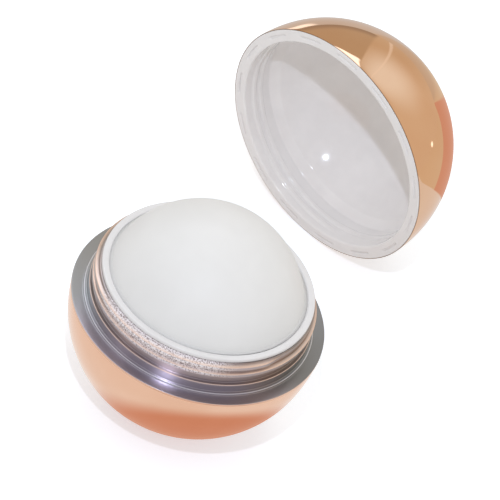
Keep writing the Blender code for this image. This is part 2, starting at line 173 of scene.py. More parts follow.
class LinerSizes(bpy.types.PropertyGroup):
    """Sizes of the white liner of the cap."""

    outer_radius: length("Outer radius", "Radius of the liner's outer ball", 0.0191)
    rim_radius: length("Rim radius", "Outer radius of the liner's rim", 0.0199)
    rim_gap: length("Rim gap", "Gap between the rim and the shell's edge round it", 0.00002)
    shell_edge: length("Shell edge", "How far the shell's edge stops short of the rim", 0.00008)
    shell_round: length("Shell rounding", "Rounding of that edge", 0.00005)
    # Painted shade: the cap shell is darkened along its edge, for the gap to the liner's rim.
    gap_shade_height: length("Dark edge", "Height of the dull line along the shell's edge", 0.00026)
    dome_radius: length("Inner dome radius", "Radius of the liner's inner dome", 0.0180)
    rim_edge: length("Rim rounding", "Rounding of the rim", 0.00015)
    mouth_radius: length("Mouth radius", "Radius of the bore", 0.0178)
    bore_depth: length("Bore depth", "Depth of the threaded bore", 0.0055)
    shoulder: length("Shoulder height", "Height of the slope above the bore", 0.0014)
    slot_ring: length("Slot ring radius", "Radius of the ring of slots in the rim", 0.01893)
    slot_length: length("Slot length", "Length of a slot", 0.0039)
    slot_width: length("Slot width", "Width of a slot", 0.00034)
    slot_depth: length("Slot depth", "Depth of a slot", 0.00022)
    slot_angle: angle("First slot", "Angle of the first slot", 9.9)
    slots: bpy.props.IntProperty(name="Slots", description="Number of slots", default=15, min=1)


class CapPlace(bpy.types.PropertyGroup):
    """Where the cap stands."""

    tilt: angle("Tilt", "Angle between the cap's dome and straight up", 83.8)
    heading: angle("Heading", "Level direction of the cap's dome, from +X", 60.3)
    across: length("Across", "Place of the rim's centre along X", 0.00948)
    away: length("Away", "Place of the rim's centre along Y", 0.04465)


class Finishes(bpy.types.PropertyGroup):
    """Colours of the finishes; the collar's front, grain and edge-line colours carry painted reflection,
    glints and highlight.
    """

    base_gold: colour("Base plating", "Plating of the base shell", 235, 194, 168)
    cap_gold: colour("Cap plating", "Plating of the cap shell", 238, 200, 168)
    collar_grey: colour("Collar plating", "Plating of the flange", 158, 159, 159)
    # Painted reflection: the plating at the front is tinted violet.
    collar_front_reflection: colour("Front plating", "Plating of the flange at the front", 180, 172, 181)
    collar_brown: colour("Neck plating", "Plating of the neck", 184, 164, 156)
    # Near-white specks in the grainy patch: rough plating, partly painted glints.
    collar_grain_and_glint: colour("Grainy plating", "Rough plating near the top of the neck", 250, 244, 246)
    # Edge lines: worn plating and painted highlight in one, copper on the neck and near-white on the step.
    collar_copper_sheen: colour("Worn plating", "Plating worn bright along the neck's edges", 246, 216, 196)
    collar_bright_sheen: colour("Bright plating", "Plating worn bright along the step", 236, 234, 238)
    cup_white: colour("Cup plastic", "Plastic of the cup", 230, 229, 229)
    balm_white: colour("Balm", "Wax of the dome", 234, 234, 233)
    liner_white: colour("Liner plastic", "Plastic of the liner", 245, 243, 242)
    disc_white: colour("Disc plastic", "Plastic of the closing disc", 226, 227, 228)


class StudioSizes(bpy.types.PropertyGroup):
    """Sizes of the studio and the place of the camera."""

    floor_half: length("Floor half width", "Half the width of the floor", 0.9)
    dome_radius: length("Dome radius", "Radius of the dome that the plating reflects", 0.95)
    camera_right: length("Camera across", "Place of the camera along X", 0.004202)
    camera_near: length("Camera distance", "Place of the camera along -Y", 1.060386)
    camera_height: length("Camera height", "Height of the camera", 0.992825)
    elevation: angle("Camera elevation", "Angle of the view above the floor", 42.129)
    roll: angle("Camera roll", "Turn of the camera about its view", 20.834)


GROUPS = {
    "balm_ball": BallSizes,
    "balm_collar": CollarSizes,
    "balm_thread": ThreadSizes,
    "balm_cup": CupSizes,
    "balm_liner": LinerSizes,
    "balm_cap_place": CapPlace,
    "balm_finishes": Finishes,
    "balm_studio": StudioSizes,
}

CAMERA_LENS = 676.35
CAMERA_SENSOR = 36.0
CAMERA_REACH = (0.01, 10)

# Points round a turned surface, and steps along the arcs of its outline
AROUND = 480
STUDIO_AROUND = 96
ARC_STEPS = 5
SHELL_STEPS = 110
CAP_STEPS = 140
BALM_STEPS = 150
LINER_STEPS = 54
HIDDEN_STEPS = 40
LINER_BACK_STEPS = 20
STUDIO_STEPS = 48

# Steps of an arc that the rounding at its end takes up, and the share of a side that it may take
JOIN = 3
MOST_OF_SIDE = 0.49

# Greatest distances between the points of an outline
FINE_SPACING = 0.00005
BORE_SPACING = 0.00012
PLAIN_SPACING = 0.0002

# How near a point of an outline lies to the wall that it is part of, and the least radius divided by
NEAR_WALL = 0.0001
ON_WALL = 0.00002
LEAST_RADIUS = 0.000001

# Lengths over which the ends and the sides of a slot in the rim slope down
SLOT_END_SLOPE = 0.00012
SLOT_SIDE_SLOPE = 0.00008

# Depths of the finest unevenness, and how far light runs inside the plastic and the wax
PEEL_DEPTH = 0.00002
GRAIN_DEPTH = 0.0002
WAVE_DEPTH = 0.0001
WAX_DEPTH = 0.00004
PLASTIC_SCATTER = 0.0005
WAX_SCATTER = 0.0007

# Roughness of the finishes: the plating's runs from clear places to cloudy ones
BASE_ROUGHNESS = (0.1, 0.16)
CAP_ROUGHNESS = (0.03, 0.06)
CUP_ROUGHNESS = 0.2
DISC_ROUGHNESS = 0.35
LINER_ROUGHNESS = 0.05

# Shares of a full tone or of the edge line. The lower edge line, the flange's darker right and the cap's
# gap line are painted highlight, reflection and shade.
LOWER_EDGE_SHEEN = 0.45
RIGHT_SHADE_SHARE = 0.75
GAP_SHADE_SHARE = 0.45
DEEP_SHARES = (0.97, 0.93, 0.9)
WAX_SHARE = 0.965
PLASTIC_SHARE = 0.975

# Where the collar's plating changes: each pair runs from no effect to the full one, in metres
# The grainy patch at the front left: rough plating whose specks are partly painted glints.
GRAIN_ACROSS = (0.010, 0.004)
GRAIN_AWAY = (-0.008, -0.013)
# Painted reflection: the flange darkens towards the right.
RIGHT_SHADE_ACROSS = (0, 0.016)
# Painted reflection: the plating turns violet towards the front.
FRONT_REFLECTION_AWAY = (-0.017, -0.005)
RIM_SIDE = (-0.0001, -0.00005)
RIM_UNDER = (-0.00003, -0.00006)

# The painted floor that the plating sees: places and pairs in metres, headings from +Y towards +X
SHADE_PLACE = (0.0075, -0.0095)
SHADE_EDGE = (0.0215, 0.0135)
BEHIND_AWAY = (0.0638, 0.0650)
BEHIND_ACROSS = (0.024, 0.030)
WEDGE_LEFT = ((0.035, 0.104), math.radians(36.5))
WEDGE_RIGHT = ((0.100, 0.111), math.radians(34.0))
WEDGE_LEFT_EDGE = (-0.001, 0.002)
WEDGE_RIGHT_EDGE = (0.0015, -0.0015)
FAR_AWAY = (0.090, 0.140)
FAR_LEFT = (0, -0.02)
TABLE_AWAY = (0.020, 0.045)
TABLE_END = (0.070, 0.100)
HORIZON_AWAY = (0.66, 0.80)
STREAK_START = (0.20, 0.26)
STREAK_END = (0.6, 0.5)
STREAK_LEFT = (0, 0.01)
STREAK_RIGHT = (0.02, 0)
STREAK_LEFT_SLOPE = 0.42
STREAK_RIGHT_SLOPE = 0.27

# The painted dome that the plating sees: places and pairs in degrees
WALL_FOOT = (1, 11)
CORNER_TURN = (2.5, 4.5)
RIGHT_TURN = (10, 40)
LEFT_TURN = (-32, -48)
FRONT_TURN = (95, 115)
GLOW_PLACE = (30, 45)
GLOW_STRETCH = (1.3, 1.2)
GLOW_EDGE = (30, 4)
SEAM_TURN = 8
SEAM_SLOPE = 0.27
SEAM_EDGE = (1.1, 0.3)
SPOT_PLACE = (59, 2.5)
SPOT_EDGE = (1.8, 1.0)
BACK_BOX = {"left": (-72, -64), "right": (4, 0), "foot": (45.5, 47), "top": (78, 74), "slope": 0.3}
SIDE_BOX = {"left": (-132, -128), "right": (-108, -112), "foot": (24, 27), "top": (62, 58), "slope": 0}

# The floor as the camera sees it, the world and the lamps
FLOOR_DROP = 0.00005
FLOOR_GLOW = (0.83, 0.93, 1.02, 1)
FLOOR_GLOW_SHARE = 0.5
WORLD_TONE = (1.0, 0.97, 0.925, 1)
WORLD_STRENGTH = 0.72
LAMPS = {
    "key_lamp": {
        "place": (-0.053, -0.433, 0.671),
        "aim": (0.005, 0.03, 0.02),
        "size": 0.018,
        "power": 1.35,
        "tone": (0.95, 1.05, 1.27),
    },
    "back_lamp": {
        "place": (0.05, 0.45, 0.72),
        "aim": (0, 0.02, 0.02),
        "size": 0.3,
        "power": 0.9,
        "reflected": False,
    },
}


def soften(corners, radii):
    """An outline whose corners are arcs.

    The arc of a corner touches both sides at radius * tan(turn / 2) from the corner, or nearer
    where a side is short, and its points are even steps of the turn about the arc's centre.
    """
    corners = np.asarray(corners, float)
    points = []
    for index, radius in enumerate(radii):
        here = corners[index]
        if radius == 0:
            points.append(here[None])
            continue
        sides = [corners[index - 1] - here, corners[(index + 1) % len(corners)] - here]
        lengths = [np.linalg.norm(side) for side in sides]
        before, after = [side / span for side, span in zip(sides, lengths)]
        half = math.acos(np.clip(before @ after, -1, 1)) / 2
        reach = min(radius / math.tan(half), min(lengths) * MOST_OF_SIDE)
        radius = reach * math.tan(half)
        middle = (before + after) / np.linalg.norm(before + after)
        centre = here + middle * radius / math.sin(half)
        first = here + before * reach - centre
        last = here + after * reach - centre
        turn = math.pi - 2 * half
        share = np.linspace(0, 1, ARC_STEPS + 1)[:, None]
        arc = (np.sin((1 - share) * turn) * first + np.sin(share * turn) * last) / math.sin(turn)
        points.append(centre + arc)
    return np.concatenate(points)


def spaced(outline, spacing):
    """The same outline with extra points, so that no two are further apart than the spacing."""
    steps = np.diff(outline, axis=0)
    counts = np.maximum(np.ceil(np.linalg.norm(steps, axis=1) / spacing).astype(int), 1)
    starts = np.repeat(np.arange(len(steps)), counts)
    within = np.arange(counts.sum()) - np.repeat(np.cumsum(counts) - counts, counts)
    share = within / counts[starts]
    inner = outline[starts] + steps[starts] * share[:, None]
    return np.concatenate([inner, outline[-1:]])


def ball_arc(radius, centre_height, first, last, steps):
    """Outline points of a ball between two angles above its middle: (radius cos, centre + radius sin)."""
    turn = np.linspace(first, last, steps + 1)
    return np.stack([radius * np.cos(turn), centre_height + radius * np.sin(turn)], axis=1)


def turned_points(outline, around=AROUND):
    """A surface of revolution: point (r, z) of the outline at turn a lies at (r cos a, r sin a, z)."""
    turn = np.arange(around) * TAU / around
    radius = outline[:, 0][:, None]
    height = outline[:, 1][:, None] + 0 * turn[None]
    return np.stack([radius * np.cos(turn), radius * np.sin(turn), height], axis=2), turn


def ring_quads(row, below, column, beside):
    """The corners of the faces between the rows: a point's number is row * points round + column."""
    row = row * len(column)
    below = below * len(column)
    return np.stack([row + column, below + column, below + beside, row + beside], axis=2).reshape(-1, 4)


def grid_mesh(name, points, loop):
    """A mesh on a grid of points, rows by columns, whose columns close round.

    With loop, the last row joins the first. Otherwise the first and last rows are poles, and
    each becomes one point with a fan of triangles. Faces wind so that an outline that runs
    down the outer side faces outwards.
    """
    rows, around, _ = points.shape
    column = np.arange(around)
    beside = (column + 1) % around
    if loop:
        vertices = points.reshape(-1, 3)
        row = np.arange(rows)[:, None]
        quads = ring_quads(row, (row + 1) % rows, column, beside)
        triangles = []
    else:
        vertices = np.concatenate([points[:1, 0], points[1:-1].reshape(-1, 3), points[-1:, 0]])
        row = np.arange(rows - 3)[:, None]
        quads = 1 + ring_quads(row, row + 1, column, beside)
        last_ring = 1 + (rows - 3) * around
        end = len(vertices) - 1
        top = np.stack([0 * column, 1 + column, 1 + beside], axis=1)
        bottom = np.stack([last_ring + column, 0 * column + end, last_ring + beside], axis=1)
        triangles = np.concatenate([top, bottom]).tolist()
    mesh = bpy.data.meshes.new(name)
    mesh.from_pydata(vertices.tolist(), [], quads.tolist() + triangles)
    mesh.validate()
    mesh.shade_smooth()
    return mesh


def smooth_step(share):
    """Zero to one with level ends: 3 s^2 - 2 s^3 of the share held between 0 and 1."""
    share = np.clip(share, 0, 1)
    return share * share * (3 - 2 * share)


def thread_rise(turn, height, start_height, start_angle, sizes):
    """How far the thread stands off its wall at a turn and a height, and how bright its edge line is
    there.

    The middle of the ridge lies at start height + lead * (turn - start angle) / one turn, once
    for each winding. The rise falls to zero over the flank's width at both sides and over the
    taper at both ends. The edge line, worn plating and painted highlight in one, is
    exp(-(d / sheen width)^2) of the distance d from an edge of the crest, and less on the lower edge.
    """
    rise = np.zeros(np.broadcast(turn, height).shape)
    wear_and_sheen = np.zeros(rise.shape)
    for winding in range(math.ceil(sizes.sweep / TAU)):
        along = (turn - start_angle) % TAU + winding * TAU
        above = height - start_height - sizes.lead * along / TAU
        ends = smooth_step(np.minimum(along, sizes.sweep - along) / sizes.taper)
        flank = (sizes.width / 2 - np.abs(above)) / sizes.flank
        rise = np.maximum(rise, sizes.rise * smooth_step(flank) * ends)
        from_edge = (np.abs(above) - sizes.width / 2 + sizes.flank) / sizes.wear_sheen_width
        side = np.where(above > 0, 1, LOWER_EDGE_SHEEN)
        wear_and_sheen = np.maximum(wear_and_sheen, side * ends * np.exp(-from_edge ** 2))
    return rise, wear_and_sheen


def cap_matrix(place, ball):
    """The cap's own frame in the world: the edge of its shell stands on the floor."""
    edge_radius = math.sqrt(ball.radius ** 2 - ball.edge_depth ** 2)
    lift = edge_radius * math.sin(place.tilt) - ball.edge_depth * math.cos(place.tilt)
    turn = Matrix.Rotation(place.heading, 4, "Z") @ Matrix.Rotation(place.tilt, 4, "Y")
    return Matrix.Translation((place.across, place.away, lift)) @ turn


def carried(points, matrix):
    """A grid of points carried by a matrix."""
    turn = np.array(matrix.to_3x3())
    return points @ turn.T + np.array(matrix.to_translation())


def placed(name, data):
    """A new object in the scene."""
    item = bpy.data.objects.new(name, data)
    bpy.context.scene.collection.objects.link(item)
    return item


def make_piece(name, points, loop, body, node, material, wear_and_sheen=None):
    """Puts a finished surface in the scene in place of its CAD node, with the edge line's strength at each
    point: worn plating and painted highlight.
    """
    mesh = grid_mesh(name, points, loop)
    mesh.materials.append(material)
    if wear_and_sheen is not None:
        layer = mesh.attributes.new("wear_and_sheen", "FLOAT", "POINT")
        layer.data.foreach_set("value", wear_and_sheen.astype(np.float32).ravel())
    piece = placed(name, mesh)
    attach(piece, body)
    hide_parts(node)


class Wire:
    """A node's output. A sum of wires and numbers adds its Math nodes."""

    def __init__(self, paint, socket):
        self.paint = paint
        self.socket = socket

    def __add__(self, other):
        return self.paint.maths("ADD", self, other)

    def __radd__(self, other):
        return self.paint.maths("ADD", other, self)

    def __sub__(self, other):
        return self.paint.maths("SUBTRACT", self, other)

    def __rsub__(self, other):
        return self.paint.maths("SUBTRACT", other, self)

    def __mul__(self, other):
        return self.paint.maths("MULTIPLY", self, other)

    def __rmul__(self, other):
        return self.paint.maths("MULTIPLY", other, self)

    def __truediv__(self, other):
        return self.paint.maths("DIVIDE", self, other)

    def __pow__(self, other):
        return self.paint.maths("POWER", self, other)


def spread(first, second):
    """The distance that two distances at right angles make: the root of the sum of their squares."""
    return (first * first + second * second) ** 0.5


class Paint:
    """The node tree of a material or of the world, filled node by node."""

    def __init__(self, name, shelf=bpy.data.materials):
        self.owner = shelf.new(name)
        self.owner.use_nodes = True
        self.tree = self.owner.node_tree
        self.tree.nodes.clear()

    def node(self, kind, settings=None, inputs=None, output=0):
        """Adds a node, with its settings first and then the values or wires of its sockets."""
        made = self.tree.nodes.new(kind)
        for key, value in (settings or {}).items():
            setattr(made, key, value)
        for key, value in (inputs or {}).items():
            if isinstance(value, Wire):
                self.tree.links.new(value.socket, made.inputs[key])
            else:
                made.inputs[key].default_value = value
        return Wire(self, made.outputs[output])

    def maths(self, operation, first, second=0):
        """A Math node on wires or numbers."""
        return self.node("ShaderNodeMath", {"operation": operation}, {0: first, 1: second})

    def place(self, matrix=None):
        """Object coordinates, carried back into a piece's own frame where a matrix is given."""
        where = self.node("ShaderNodeTexCoord", output="Object")
        if matrix is None:
            return where
        inputs = {"Vector": where, "Location": matrix.to_translation(), "Rotation": matrix.to_euler()}
        return self.node("ShaderNodeMapping", {"vector_type": "TEXTURE"}, inputs)

    def split(self, vector):
        """The three parts of a vector."""
        parts = self.tree.nodes.new("ShaderNodeSeparateXYZ")
        self.tree.links.new(vector.socket, parts.inputs[0])
        return [Wire(self, output) for output in parts.outputs]

    def between(self, value, none, full):
        """0 at the first place and 1 at the second, which may be the lower one, with a smooth passage."""
        inputs = {"Value": value, "From Min": none, "From Max": full}
        return self.node("ShaderNodeMapRange", {"interpolation_type": "SMOOTHSTEP"}, inputs)

    def within(self, *edges):
        """The product of passages, each given as a value and its two places."""
        shares = [self.between(*edge) for edge in edges]
        return math.prod(shares[1:], start=shares[0])

    def noise(self, vector, scale, detail, roughness=0.5):
        inputs = {"Vector": vector, "Scale": scale, "Detail": detail, "Roughness": roughness}
        return self.node("ShaderNodeTexNoise", inputs=inputs)

    def blend(self, share, first, second):
        """A colour between two colours."""
        first, second = [value if isinstance(value, Wire) else (*value, 1) for value in (first, second)]
        return self.node("ShaderNodeMix", {"data_type": "RGBA"}, {0: share, 6: first, 7: second}, output=2)

    def layered(self, tone, *layers):
        """A colour with others laid over it in turn, each given as its share and its colour."""
        for share, colour_over in layers:
            tone = self.blend(share, tone, colour_over)
        return tone

    def bump(self, height, strength, distance):
        inputs = {"Height": height, "Strength": strength, "Distance": distance}
        return self.node("ShaderNodeBump", inputs=inputs)

    def surface(self, **inputs):
        """The Principled surface and the output. Underscores stand for the spaces in a socket's name."""
        names = [key.replace("_", " ").title().replace("Ior", "IOR") for key in inputs]
        named = dict(zip(names, inputs.values()))
        return self.finish(self.node("ShaderNodeBsdfPrincipled", inputs=named))

    def finish(self, shader, kind="ShaderNodeOutputMaterial"):
        """Links the shader to the output, and gives the finished material or world."""
        out = self.tree.nodes.new(kind)
        self.tree.links.new(shader.socket, out.inputs["Surface"])
        return self.owner


def gold_material(name, tone, roughness, matrix=None, gap_shade_height=0):
    """Rose gold plating: a clear metal with a faint cloudiness and a very slight orange peel.

    Up to the height of the gap shade, the plating is darkened where it meets the liner: a painted shade
    line for the gap between the shell and the liner.
    """
    clear, cloudy = roughness
    paint = Paint(name)
    where = paint.place(matrix)
    cloud = paint.noise(where, 90, 3)
    peel = paint.noise(where, 900, 2)
    deep = [value * share for value, share in zip(tone, DEEP_SHARES)]
    shade = paint.blend(paint.between(cloud, 0.35, 0.7), tone, deep)
    # Painted shade along the shell's edge, for the gap between the shell and the liner.
    if gap_shade_height:
        darker_tone = [value * GAP_SHADE_SHARE for value in tone]
        above = paint.split(where)[2]
        shade = paint.blend(paint.between(above, gap_shade_height / 2, gap_shade_height), darker_tone, shade)
    return paint.surface(
        base_color=shade,
        metallic=1.0,
        roughness=clear + (cloudy - clear) * paint.between(cloud, 0.3, 0.75),
        normal=paint.bump(peel, 0.05, PEEL_DEPTH),
    )


def collar_material(tones, collar, ball):
    """Dark plating: grey on the flange, warmer on the neck, grainy near its top, bright where worn.

    The flange's darker right and violet front are painted reflections, the grain's near-white
    specks are partly painted glints, and the bright edge lines are worn plating and painted highlight.
    """
    paint = Paint("collar_plating")
    where = paint.place()
    across, away, up = paint.split(where)
    above = up - ball.centre_height
    from_rim = spread(across, away) - collar.rim_radius
    wear_and_sheen = paint.node("ShaderNodeAttribute", {"attribute_name": "wear_and_sheen"}, output="Fac")
    cloud = paint.noise(where, 260, 4)
    grain = paint.noise(where, 4400, 2, 0.6)
    on_neck = paint.between(above, collar.band_height * 0.6, collar.band_height * 1.3)
    near_top = paint.between(above, collar.neck_height * 0.5, collar.neck_height * 0.7)
    grainy = near_top * paint.within((across, *GRAIN_ACROSS), (away, *GRAIN_AWAY))
    # Near-white specks: grain, and partly painted glints.
    specks_and_glints = grainy * paint.between(grain, 0.40, 0.53)
    on_band = paint.between(above, collar.band_height * 0.3, collar.band_height * 0.6)
    # Edge lines: worn plating and painted highlight, near-white low on the band and copper above.
    worn_sheen_tone = paint.blend(on_band, tones.collar_bright_sheen, tones.collar_copper_sheen)
    rim_side = paint.within((from_rim, *RIM_SIDE), (above, *RIM_UNDER))
    # Painted reflection: darker towards the right of the flange.
    right_shade = [value * RIGHT_SHADE_SHARE for value in tones.collar_grey]
    tone = paint.blend(paint.between(across, *RIGHT_SHADE_ACROSS), tones.collar_grey, right_shade)
    # Painted reflection: violet towards the front.
    tone = paint.blend(paint.between(away, *FRONT_REFLECTION_AWAY), tones.collar_front_reflection, tone)
    tone = paint.layered(
        tone,
        (on_neck * cloud, tones.collar_brown),
        (specks_and_glints, tones.collar_grain_and_glint),
        (wear_and_sheen * (1 - 0.2 * grainy), worn_sheen_tone),
        (rim_side, tones.base_gold),
    )
    return paint.surface(
        base_color=tone,
        metallic=(1 - 0.75 * specks_and_glints) * (1 - 0.5 * wear_and_sheen),
        roughness=0.26 + 0.06 * cloud + 0.06 * grainy,
        anisotropic=0.6,
        anisotropic_rotation=0.25,
        normal=paint.bump(grain * grainy, 0.8, GRAIN_DEPTH),
    )


def plastic_material(name, tone, roughness, matrix=None):
    """White moulded plastic: a soft mottle in its tone and gloss, and faint flow waves."""
    paint = Paint(name)
    where = paint.place(matrix)
    mottle = paint.noise(where, 420, 5)
    wave = paint.noise(where, 130, 2)
    darker_tone = [value * PLASTIC_SHARE for value in tone]
    return paint.surface(
        base_color=paint.blend(paint.between(mottle, 0.35, 0.7), darker_tone, tone),
        roughness=roughness + 0.1 * mottle,
        normal=paint.bump(wave, 0.12, WAVE_DEPTH),
        subsurface_weight=0.15,
        subsurface_radius=(1, 1, 1),
        subsurface_scale=PLASTIC_SCATTER,
    )


def balm_material(tone):
    """Wax: soft and dull, with pale clouds and a fine grain."""
    paint = Paint("balm_wax")
    where = paint.place()
    cloud = paint.noise(where, 110, 4)
    grain = paint.noise(where, 2600, 3)
    darker_tone = [value * WAX_SHARE for value in tone]
    return paint.surface(
        base_color=paint.blend(paint.between(cloud, 0.3, 0.7), darker_tone, tone),
        roughness=0.42 + 0.12 * cloud,
        normal=paint.bump(grain, 0.1, WAX_DEPTH),
        specular_ior_level=0.35,
        subsurface_weight=0.35,
        subsurface_radius=(1, 1, 1),
        subsurface_scale=WAX_SCATTER,
    )


def joined(*parts):
    """One outline of (radius, height) rows, made of points and of rows of points."""
    return np.concatenate([np.atleast_2d(np.asarray(part, float)) for part in parts])


class LIPBALM_OT_base_shell(bpy.types.Operator):
    """Build the plated lower half of the ball"""

    bl_idname = "lipbalm.base_shell"
    bl_label = "Base Shell"

    def execute(self, context):
        scene = context.scene
        ball = scene.balm_ball
        middle = ball.centre_height
        inner = ball.radius - ball.wall
        foot_turn = -math.asin(middle / ball.radius)
        foot_radius = ball.radius * math.cos(foot_turn)
        foot_start = foot_turn + ball.foot_edge / ball.radius
        edge_turn = -math.asin(ball.edge_depth / ball.radius)
        outer = ball_arc(ball.radius, middle, edge_turn, foot_start, SHELL_STEPS)
        edge_corners = [(inner, middle - ball.edge_depth), outer[0], outer[JOIN]]
        edge = soften(edge_corners, [0, ball.edge_round, 0])
        foot_corners = [outer[-1], (foot_radius, 0), (foot_radius - 2 * ball.foot_edge, 0)]
        foot = soften(foot_corners, [0, ball.foot_edge, 0])
        inner_first = -math.asin((middle - ball.foot_wall) / inner)
        inner_last = -math.asin(ball.edge_depth / inner)
        hidden = ball_arc(inner, middle, inner_first, inner_last, HIDDEN_STEPS)
        outline = joined((0, ball.foot_wall), hidden, edge[1:-1], outer[JOIN:], foot[1:], (0, 0))
        points, _ = turned_points(outline)
        tone = scene.balm_finishes.base_gold
        material = gold_material("base_plating", tone, BASE_ROUGHNESS)
        make_piece("base_shell_plated", points, False, "base", "base_shell", material)
        return {"FINISHED"}


class LIPBALM_OT_collar(bpy.types.Operator):
    """Build the threaded collar with its flange, band and ridges"""

    bl_idname = "lipbalm.collar"
    bl_label = "Threaded Collar"

    def execute(self, context):
        scene = context.scene
        collar = scene.balm_collar
        ball = scene.balm_ball
        middle = ball.centre_height
        top = middle + collar.neck_height
        band_top = middle + collar.band_height
        step_top = middle + collar.step_height
        under = middle - collar.flange_thickness
        rim_under = middle - ball.rim_thickness
        spigot_end = rim_under - collar.spigot_depth
        spigot_inner = collar.spigot_radius - collar.spigot_wall
        skirt_end = under - collar.skirt_depth
        corners = [
            (collar.bore_radius, top),
            (collar.root_radius, top),
            (collar.root_radius, band_top),
            (collar.band_radius, band_top),
            (collar.band_radius, step_top),
            (collar.step_radius, step_top),
            (collar.step_radius, middle),
            (collar.rim_radius, middle),
            (collar.rim_radius, rim_under),
            (collar.spigot_radius, rim_under),
            (collar.spigot_radius, spigot_end),
            (spigot_inner, spigot_end),
            (spigot_inner, under),
            (collar.skirt_radius, under),
            (collar.skirt_radius, skirt_end),
            (collar.bore_radius, skirt_end),
        ]
        edge = collar.edge_round
        radii = [0, 2 * edge, edge, edge, edge, edge / 2, edge, edge / 2] + [0] * 8
        outline = spaced(soften(corners, radii), PLAIN_SPACING)
        wall = collar.root_radius - NEAR_WALL
        shown = (outline[:, 0] > wall) & (outline[:, 1] > band_top - NEAR_WALL)
        first = int(np.argmax(shown))
        last = len(shown) - int(np.argmax(shown[::-1]))
        neck = spaced(outline[first:last], FINE_SPACING)
        outline = np.concatenate([outline[:first], neck, outline[last:]])
        points, turn = turned_points(outline)
        thread = scene.balm_thread
        height = points[:, :, 2] - middle
        rise, wear_and_sheen = thread_rise(turn[None], height, thread.neck_start, thread.neck_angle, thread)
        on_neck = (outline[:, 0] > wall) & (outline[:, 1] > band_top)
        band_edge = np.hypot(outline[:, 0] - collar.band_radius, outline[:, 1] - band_top)
        step_edge = np.hypot(outline[:, 0] - collar.step_radius, outline[:, 1] - step_top)
        edge_distance = np.minimum(band_edge, step_edge)
        # The band's and the step's edges get edge lines too: worn plating and painted highlight.
        wear_and_sheen = wear_and_sheen * on_neck[:, None] + np.exp(-(edge_distance / thread.wear_sheen_width) ** 2)[:, None]
        radius = np.hypot(points[:, :, 0], points[:, :, 1])
        ridge = np.maximum(radius, collar.root_radius * (rise > 0) + rise)
        raised = np.where(on_neck[:, None], ridge, radius)
        points[:, :, :2] *= (raised / radius)[:, :, None]
        material = collar_material(scene.balm_finishes, collar, ball)
        make_piece("collar_plated", points, True, "base", "threaded_collar", material, wear_and_sheen)
        return {"FINISHED"}


class LIPBALM_OT_cup(bpy.types.Operator):
    """Build the white cup that holds the balm"""

    bl_idname = "lipbalm.cup"
    bl_label = "Balm Cup"

    def execute(self, context):
        scene = context.scene
        cup = scene.balm_cup
        seat = scene.balm_ball.centre_height + scene.balm_collar.neck_height + cup.seat_gap
        top = seat + cup.lip_thickness
        bottom = top - cup.height
        corners = [
            (cup.inner_radius, bottom),
            (cup.inner_radius, top - cup.mouth_bevel),
            (cup.inner_radius + cup.mouth_bevel, top),
            (cup.lip_radius, top),
            (cup.lip_radius, seat),
            (cup.outer_radius, seat),
            (cup.outer_radius, bottom),
        ]
        edge = cup.lip_edge
        outline = spaced(soften(corners, [0, edge, edge, edge, edge, 0, 0]), PLAIN_SPACING)
        points, _ = turned_points(outline)
        material = plastic_material("cup_plastic", scene.balm_finishes.cup_white, CUP_ROUGHNESS)
        make_piece("cup_moulded", points, True, "base", "balm_cup", material)
        return {"FINISHED"}


class LIPBALM_OT_disc(bpy.types.Operator):
    """Give the closing disc its plastic"""

    bl_idname = "lipbalm.disc"
    bl_label = "Closing Disc"

    def execute(self, context):
        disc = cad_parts["closing_disc"]
        tone = context.scene.balm_finishes.disc_white
        material = plastic_material("disc_plastic", tone, DISC_ROUGHNESS)
        disc.data.materials.clear()
        disc.data.materials.append(material)
        return {"FINISHED"}


class LIPBALM_OT_balm(bpy.types.Operator):
    """Build the dome of balm"""

    bl_idname = "lipbalm.balm"
    bl_label = "Balm"

    def execute(self, context):
        scene = context.scene
        cup = scene.balm_cup
        collar_top = scene.balm_ball.centre_height + scene.balm_collar.neck_height
        lip_top = collar_top + cup.seat_gap + cup.lip_thickness
        rise = cup.balm_top - lip_top
        dome_radius = (cup.balm_radius ** 2 + rise ** 2) / (2 * rise)
        middle = cup.balm_top - dome_radius
        shoulder = math.acos(cup.balm_radius / dome_radius)
        poured = cup.inner_radius - cup.seat_gap
        groove = lip_top - cup.groove_depth
        outline = joined(
            ball_arc(dome_radius, middle, math.pi / 2, shoulder, BALM_STEPS),
            (cup.balm_radius + cup.groove_depth / 4, groove),
            (poured + cup.mouth_bevel - cup.groove_depth, groove),
            (poured, lip_top - cup.mouth_bevel),
            (poured, cup.balm_bottom),
            (0, cup.balm_bottom),
        )
        outline[0, 0] = 0
        points, _ = turned_points(outline)
        points[:, :, 0] -= cup.balm_shift
        material = balm_material(scene.balm_finishes.balm_white)
        make_piece("balm_dome", points, False, "base", "balm", material)
        return {"FINISHED"}


class LIPBALM_OT_cap_shell(bpy.types.Operator):
    """Build the plated upper half of the ball, where it stands"""

    bl_idname = "lipbalm.cap_shell"
    bl_label = "Cap Shell"

    def execute(self, context):
        scene = context.scene
        ball = scene.balm_ball
        matrix = cap_matrix(scene.balm_cap_place, ball)
        liner = scene.balm_liner
        inner = ball.radius - ball.wall
        outer_last = math.asin(liner.shell_edge / ball.radius)
        outer = ball_arc(ball.radius, 0, math.pi / 2, outer_last, CAP_STEPS)
        hidden = ball_arc(inner, 0, math.asin(ball.edge_depth / inner), math.pi / 2, HIDDEN_STEPS)
        recess = liner.rim_radius + liner.rim_gap
        recess_corners = [(recess, liner.shell_edge), (recess, ball.edge_depth)]
        edge_corners = [outer[-JOIN - 1], outer[-1], *recess_corners, hidden[0]]
        edge = soften(edge_corners, [0, liner.shell_round, liner.shell_round, 0, 0])
        outline = joined(outer[:-JOIN], edge[1:-1], hidden)
        outline[(0, -1), 0] = 0
        points = carried(turned_points(outline)[0], matrix)
        tone = scene.balm_finishes.cap_gold
        material = gold_material("cap_plating", tone, CAP_ROUGHNESS, matrix, liner.gap_shade_height)
        make_piece("cap_shell_plated", points, False, "cap", "cap_shell", material)
        return {"FINISHED"}


